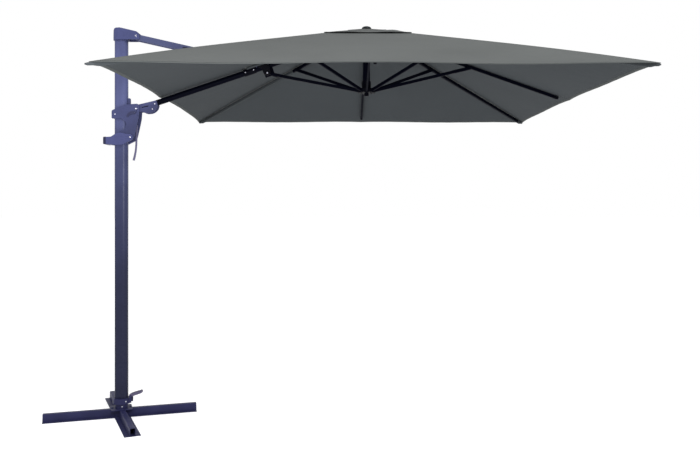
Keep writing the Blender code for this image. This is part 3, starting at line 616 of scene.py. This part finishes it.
for name in ("right", "far", "near"):
    rings = [(SIDE_REACH + past, width, height, 0)
             for past, width, height in ((-0.026, 0.0099, 0.0124), (0.001, 0.0101, 0.0126),
                                         (0.005, 0.0094, 0.0118), (0.009, 0.0070, 0.0090))]
    cap = sheath(name, "rib_cap", rings, dark_moulding)
for name in CORNERS:
    end, tail = CORNER_REACH, POCKET_TAIL[name]
    rings = [(POCKET_START[name], 0.0106, 0.0132, 0), (end, 0.0110, 0.0134, 0),
             (end + 0.012, 0.0104, 0.0118, 0.001), (end + 0.45 * tail, 0.0095, 0.0090, 0.004),
             (end + 0.82 * tail, 0.0085, 0.0080, 0.006), (end + tail, 0.0050, 0.0040, 0.008)]
    pocket = sheath(name, "rib_pocket", rings, cloth_painted_shade)
rings = [(out, *SLEEVE_HALVES, 0) for out in (SLEEVE_START, 1.4, POCKET_START["far_left"])]
sleeve = sheath("far_left", "rib_sleeve", rings, cloth_painted_shade)

# ---- fasteners ---------------------------------------------------------------------------------------------
HEAD_HINGE, CARRIAGE_HINGE, STRUT_HINGE = (0.116, 2.734), (0.116, 2.212), (1.0555, 2.473)
for name, at, reach, radius, body in (
        ("head_screw", HEAD_HINGE, 0.0528, 0.0050, "mast"),
        ("carriage_screw", CARRIAGE_HINGE, 0.0503, 0.0049, "carriage"),
        ("ear_screw", (-0.034, 2.1735), 0.0462, 0.0040, "carriage"),
        ("grip_screw", (0.0762, 2.0072), 0.0597, 0.0044, "carriage"),
        ("cheek_screw_upper", (0.2464, 2.2500), 0.0297, 0.0044, "beam"),
        ("cheek_screw_lower", (0.2300, 2.2120), 0.0297, 0.0042, "beam"),
        ("strut_screw", STRUT_HINGE, 0.0452, 0.0046, "strut"),
        ("hub_screw", (1.740, 2.620), 0.0247, 0.0052, "hub")):
    pair(name, *at, reach, radius, body)
ARM_SLOPE = radians(18.75)
for i, s in enumerate((0.824, 0.886, 0.962, 0.994)):  # along the arm from its hinge
    x, z = CARRIAGE_HINGE[0] + s * cos(ARM_SLOPE), CARRIAGE_HINGE[1] + s * sin(ARM_SLOPE)
    pair(f"clamp_screw_{i}", x, z, 0.0250, 0.0035, "beam")
foot_screws = ((-44, 0.0608, 0.112, "mast"), (136, 0.0608, 0.112, "mast"),
               (-68, 0.0438, 0.074, "base"), (112, 0.0438, 0.074, "base"))
for i, (degrees, radius, z, body) in enumerate(foot_screws):
    a = radians(degrees)
    button_screw(f"foot_screw_{i}", (radius * cos(a), radius * sin(a), z), (cos(a), sin(a), 0), 0.0048, body)

# ---- strut details: an oval inlay on each bar --------------------------------------------------------------
OVAL_AT = (0.4716, 0.0380, 2.6480)  # its middle, on the bar's outer face
OVAL_HALVES, OVAL_TILT = (0.0250, 0.0085), radians(-12.6)
for side, sign in (("near", -1), ("far", 1)):
    rows = []
    for grow, rise in ((1.0, -0.0004), (1.0, 0.0010), (0.92, 0.0016), (0.80, 0.0016), (0.74, 0.0006),
                       (0.70, 0.0002)):
        row = []
        for k in range(40):
            t = 2 * pi * k / 40
            u = OVAL_HALVES[0] * grow * cos(t)
            v = (OVAL_HALVES[1] - OVAL_HALVES[0] * (1 - grow)) * sin(t)
            row.append(Vector((OVAL_AT[0] + u * cos(OVAL_TILT) - v * sin(OVAL_TILT),
                               sign * (OVAL_AT[1] + rise),
                               OVAL_AT[2] + u * sin(OVAL_TILT) + v * cos(OVAL_TILT))))
        rows.append(row)
    oval = add_grid(f"strut_oval_{side}", rows, rubber, closed=True, capped=True)
    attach(oval, "strut")

# ---- soft grip and pedal tread -----------------------------------------------------------------------------
def loft_box(name, outline_xz, y_half, finish, body, bevel=0.003):
    """A closed piece from an outline in the arm's plane, as wide as stated, with rounded edges."""
    n = len(outline_xz)
    points = [(x, y, z) for y in (-y_half, y_half) for x, z in outline_xz]
    faces = [tuple(range(n)), tuple(range(n, 2 * n))[::-1]]
    faces += [(k, (k + 1) % n, (k + 1) % n + n, k + n) for k in range(n)]
    made = add_mesh(name, points, faces, finish)
    outward(made)
    edge = made.modifiers.new("edges", "BEVEL")
    edge.width, edge.segments, edge.limit_method, edge.angle_limit = bevel, 3, "ANGLE", radians(30)
    made.modifiers.new("shade", "WEIGHTED_NORMAL")
    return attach(made, body)


loft_box("grip_sleeve", [(-0.1155, 1.9610), (-0.1125, 1.9575), (-0.0960, 1.9560), (-0.0960, 2.0110),
                         (-0.1125, 2.0095), (-0.1155, 2.0060)], 0.0584, rubber, "grip")
TREAD_START, TREAD_STEP = 0.080, 0.0115
PEDAL_LOW, PEDAL_HIGH = (0.0660, 0.1610), (0.1450, 0.1845)  # the two ends of the pedal's upper face
for i in range(6):
    x = TREAD_START + TREAD_STEP * i
    z = PEDAL_LOW[1] + (x - PEDAL_LOW[0]) * (PEDAL_HIGH[1] - PEDAL_LOW[1]) / (PEDAL_HIGH[0] - PEDAL_LOW[0])
    loft_box(f"pedal_tread_{i}", [(x, z - 0.001), (x + 0.0050, z + 0.0005), (x + 0.0042, z + 0.0030),
                                  (x - 0.0002, z + 0.0020)], 0.0165, rubber, "pedal", 0.0006)

# ---- tie strap: a flat webbing hanging from the carriage ---------------------------------------------------
STRAP_Y, STRAP_HALF = -0.0200, 0.0078
STRAP_THIN, STRAP_DOUBLED = 0.0011, 0.0019  # half its thickness: plain, and where the ends are folded over
STRAP_TWIST = 0.35
STRAP_OUTLINE = ((-1, -0.4), (-0.96, -1), (-0.5, -1.1), (0.5, -1.1), (0.96, -1), (1, -0.4),
                 (1, 0.4), (0.96, 1), (0.5, 1.1), (-0.5, 1.1), (-0.96, 1), (-1, 0.4))
knots = [(0.1155, 2.0950), (0.1152, 2.0735), (0.1150, 2.0520), (0.1141, 2.0200), (0.1130, 1.9870),
         (0.1110, 1.9500), (0.1080, 1.9140), (0.1015, 1.8780), (0.0925, 1.8420)]
path = []  # a smooth curve through the knots
for i in range(len(knots) - 1):
    p0, p1, p2, p3 = (Vector(knots[min(max(k, 0), len(knots) - 1)]) for k in (i - 1, i, i + 1, i + 2))
    for u in (0, 0.25, 0.5, 0.75):
        q = 0.5 * (2 * p1 + (p2 - p0) * u + (2 * p0 - 5 * p1 + 4 * p2 - p3) * u * u
                   + (3 * p1 - p0 - 3 * p2 + p3) * u**3)
        path.append(Vector((q.x, STRAP_Y, q.y)))
path.append(Vector((knots[-1][0], STRAP_Y, knots[-1][1])))
rows = []
for i, p in enumerate(path):
    run = (path[min(i + 1, len(path) - 1)] - path[max(i - 1, 0)]).normalized()
    wide = Vector((run.z, 0, -run.x))
    twist = STRAP_TWIST * sin(pi * i / (len(path) - 1))
    wide = wide * cos(twist) + Vector((0, 1, 0)) * sin(twist)
    thin = run.cross(wide)
    thick = STRAP_THIN if 2 < i < len(path) - 5 else STRAP_DOUBLED
    rows.append([p + wide * (STRAP_HALF * a) + thin * (thick * b) for a, b in STRAP_OUTLINE])
strap = add_grid("strap", rows, tape, closed=True, capped=True)
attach(strap, "carriage")
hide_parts("tie_strap")

# ---- floor, light and camera -------------------------------------------------------------------------------
FLOOR_COLOUR, FLOOR_HALF, FLOOR_Z = (0.95, 0.95, 0.95), 60, -0.0006
pale, nodes, links, shader, place = start_material(
    "pale_floor", FLOOR_COLOUR, 0.9, Specular_IOR_Level=0.0,
    Emission_Color=(1, 1, 1, 1), Emission_Strength=0.20)
vary_colour(nodes, links, shader, cloud(nodes, links, place, 0.6), FLOOR_COLOUR, 0.995, 1.005)
corners = [(x * FLOOR_HALF, y * FLOOR_HALF, FLOOR_Z) for x, y in ((-1, -1), (1, -1), (1, 1), (-1, 1))]
floor = add_mesh("floor", corners, [(0, 1, 2, 3)], pale)

world = bpy.data.worlds.new("studio")
world.use_nodes = True
world.node_tree.nodes["Background"].inputs["Color"].default_value = (1, 1, 1, 1)
world.node_tree.nodes["Background"].inputs["Strength"].default_value = 1.0
scene.world = world


def soft_light(name, at, towards, width, height, power):
    data = bpy.data.lights.new(name, "AREA")
    data.shape, data.size, data.size_y, data.energy = "RECTANGLE", width, height, power
    made = bpy.data.objects.new(name, data)
    made.location = at
    made.rotation_euler = (Vector(towards) - Vector(at)).to_track_quat("-Z", "Y").to_euler()
    scene.collection.objects.link(made)


soft_light("key", (4.2, -5.0, 6.5), (1.7, 0, 2.2), 3.2, 3.2, 370)
soft_light("mast_strip", (0.80, -2.8, 1.85), (0.0, 0, 2.4), 0.25, 0.8, 45)

# the camera looks level and its picture is shifted, not tilted, so that uprights stay upright
LENS, LENS_SHIFT = 38.31, -0.0419
EYE, EYE_TURN = (1.5888, -5.4000, 1.5527), -0.0114
camera = bpy.data.objects.new("camera", bpy.data.cameras.new("camera"))
camera.data.sensor_width, camera.data.lens = 36, LENS
camera.data.shift_y = LENS_SHIFT
camera.location = EYE
camera.rotation_euler = (radians(90), 0, EYE_TURN)
scene.collection.objects.link(camera)
scene.camera = camera
scene.view_settings.view_transform = "Standard"
